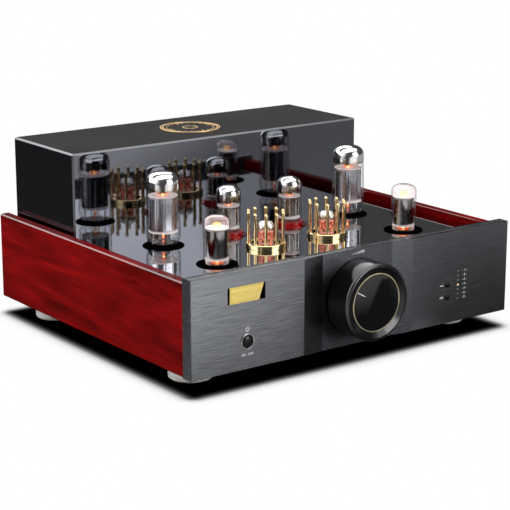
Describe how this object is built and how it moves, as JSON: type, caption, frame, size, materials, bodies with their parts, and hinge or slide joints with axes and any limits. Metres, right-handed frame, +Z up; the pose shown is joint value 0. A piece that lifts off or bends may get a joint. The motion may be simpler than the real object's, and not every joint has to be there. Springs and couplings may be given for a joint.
{
  "type": "tube amplifier",
  "caption": "Stereo tube amplifier: thick metal front with a large volume knob, red wooden cheeks, black deck with plug-in tubes, some in gold post cages, and a low transformer cover.",
  "frame": {"origin": "centre of the outer box in plan, on the surface that the rubber pads stand on", "axes": "+X to the right as seen from the front, +Y to the back, +Z up; the front panel faces -Y"},
  "size_m": [0.42, 0.4312, 0.2019],
  "materials": {
    "panel_metal": "brushed, dark grey anodised",
    "sheet_steel": "plated sheet",
    "plate_steel": "satin black",
    "mirror_black": "mirror-gloss black",
    "wood": "red lacquer over grain",
    "gold": "polished gold plate",
    "silver": "turned and polished",
    "rubber": "matte",
    "black_plastic": "satin",
    "knob_black": "gloss black",
    "gloss_black": "gloss",
    "plain_steel": "zinc plated",
    "circuit_board": "solder-mask green",
    "light": "clear light pipe, amber",
    "capacitor": "sleeved can",
    "ceramic": "glazed ivory",
    "lamination": "varnished laminations",
    "copper": "enamelled winding",
    "insulator": "moulded",
    "wire": "insulated wire",
    "glass": "clear blown glass",
    "tube_metal": "grey electrodes on a moulded base"
  },
  "bodies": {
    "amplifier": {"chassis_tray": "sheet_steel", "bottom_plate": "plate_steel", "top_deck": "mirror_black", "rear_panel": "plate_steel", "front_panel": "panel_metal", "side_panel_left": "wood", "side_panel_right": "wood", "transformer_cover": "mirror_black", "cover_badge": "gold", "name_plate": "gold", "feet": "silver", "foot_pads": "rubber", "volume_pot": "plain_steel", "power_bezel": "silver", "switches": "black_plastic", "front_board": "circuit_board", "indicator_lights": "light", "main_board": "circuit_board", "board_standoffs": "plain_steel", "capacitors": "capacitor", "tube_sockets": "ceramic", "socket_rings": "black_plastic", "cage_rings": "gold", "cage_posts": "gold", "transformer_cores": "lamination", "transformer_coils": "copper", "signal_jacks": "gold", "jack_insulators": "insulator", "mains_inlet": "black_plastic", "speaker_posts": "gold", "case_screws": "plain_steel", "wire_harness": "wire"},
    "volume_knob": {"knob_body": "knob_black", "knob_ring": "gold", "knob_disc": "gloss_black", "pot_shaft": "plain_steel"},
    "power_button": {"power_button": "gloss_black"},
    "upper_button": {"upper_button": "gloss_black"},
    "lower_button": {"lower_button": "gloss_black"},
    "fuse_drawer": {"fuse_drawer": "black_plastic"},
    "speaker_cap_1": {"speaker_cap_1": "black_plastic"},
    "speaker_cap_2": {"speaker_cap_2": "black_plastic"},
    "speaker_cap_3": {"speaker_cap_3": "black_plastic"},
    "speaker_cap_4": {"speaker_cap_4": "black_plastic"},
    "power_tube_left": {"power_tube_left_glass": "glass", "power_tube_left_core": "tube_metal"},
    "power_tube_right": {"power_tube_right_glass": "glass", "power_tube_right_core": "tube_metal"},
    "driver_tube_left": {"driver_tube_left_glass": "glass", "driver_tube_left_core": "tube_metal"},
    "driver_tube_right": {"driver_tube_right_glass": "glass", "driver_tube_right_core": "tube_metal"},
    "rectifier_tube_left": {"rectifier_tube_left_glass": "glass", "rectifier_tube_left_core": "tube_metal"},
    "rectifier_tube_right": {"rectifier_tube_right_glass": "glass", "rectifier_tube_right_core": "tube_metal"},
    "input_tube_left": {"input_tube_left_glass": "glass", "input_tube_left_core": "tube_metal"},
    "input_tube_right": {"input_tube_right_glass": "glass", "input_tube_right_core": "tube_metal"}
  },
  "joints": [
    {"name": "volume_turn", "type": "hinge", "parent": "amplifier", "child": "volume_knob", "pos_m": [0, -0.18705, 0.0685], "axis": [0, 1, 0], "range_deg": [-90, 210]},
    {"name": "power_press", "type": "slide", "parent": "amplifier", "child": "power_button", "axis": [0, 1, 0], "range_m": [0, 0.003], "stiffness_N_per_m": 900, "springref_m": -0.001},
    {"name": "upper_press", "type": "slide", "parent": "amplifier", "child": "upper_button", "axis": [0, 1, 0], "range_m": [0, 0.0015], "stiffness_N_per_m": 600, "springref_m": -0.0008},
    {"name": "lower_press", "type": "slide", "parent": "amplifier", "child": "lower_button", "axis": [0, 1, 0], "range_m": [0, 0.0015], "stiffness_N_per_m": 600, "springref_m": -0.0008},
    {"name": "fuse_drawer_pull", "type": "slide", "parent": "amplifier", "child": "fuse_drawer", "axis": [0, 1, 0], "range_m": [0, 0.016]},
    {"name": "speaker_cap_1_turn", "type": "hinge", "parent": "amplifier", "child": "speaker_cap_1", "pos_m": [-0.09, 0.20295, 0.065], "axis": [0, 1, 0], "range_deg": [0, 1440]},
    {"name": "speaker_cap_2_turn", "type": "hinge", "parent": "amplifier", "child": "speaker_cap_2", "pos_m": [-0.066, 0.20295, 0.065], "axis": [0, 1, 0], "range_deg": [0, 1440]},
    {"name": "speaker_cap_3_turn", "type": "hinge", "parent": "amplifier", "child": "speaker_cap_3", "pos_m": [-0.03, 0.20295, 0.065], "axis": [0, 1, 0], "range_deg": [0, 1440]},
    {"name": "speaker_cap_4_turn", "type": "hinge", "parent": "amplifier", "child": "speaker_cap_4", "pos_m": [-0.006, 0.20295, 0.065], "axis": [0, 1, 0], "range_deg": [0, 1440]},
    {"name": "power_tube_left_lift", "type": "slide", "parent": "amplifier", "child": "power_tube_left", "axis": [0, 0, 1], "range_m": [0, 0.045]},
    {"name": "power_tube_right_lift", "type": "slide", "parent": "amplifier", "child": "power_tube_right", "axis": [0, 0, 1], "range_m": [0, 0.045]},
    {"name": "driver_tube_left_lift", "type": "slide", "parent": "amplifier", "child": "driver_tube_left", "axis": [0, 0, 1], "range_m": [0, 0.04]},
    {"name": "driver_tube_right_lift", "type": "slide", "parent": "amplifier", "child": "driver_tube_right", "axis": [0, 0, 1], "range_m": [0, 0.04]},
    {"name": "rectifier_tube_left_lift", "type": "slide", "parent": "amplifier", "child": "rectifier_tube_left", "axis": [0, 0, 1], "range_m": [0, 0.04]},
    {"name": "rectifier_tube_right_lift", "type": "slide", "parent": "amplifier", "child": "rectifier_tube_right", "axis": [0, 0, 1], "range_m": [0, 0.04]},
    {"name": "input_tube_left_lift", "type": "slide", "parent": "amplifier", "child": "input_tube_left", "axis": [0, 0, 1], "range_m": [0, 0.032]},
    {"name": "input_tube_right_lift", "type": "slide", "parent": "amplifier", "child": "input_tube_right", "axis": [0, 0, 1], "range_m": [0, 0.032]}
  ]
}
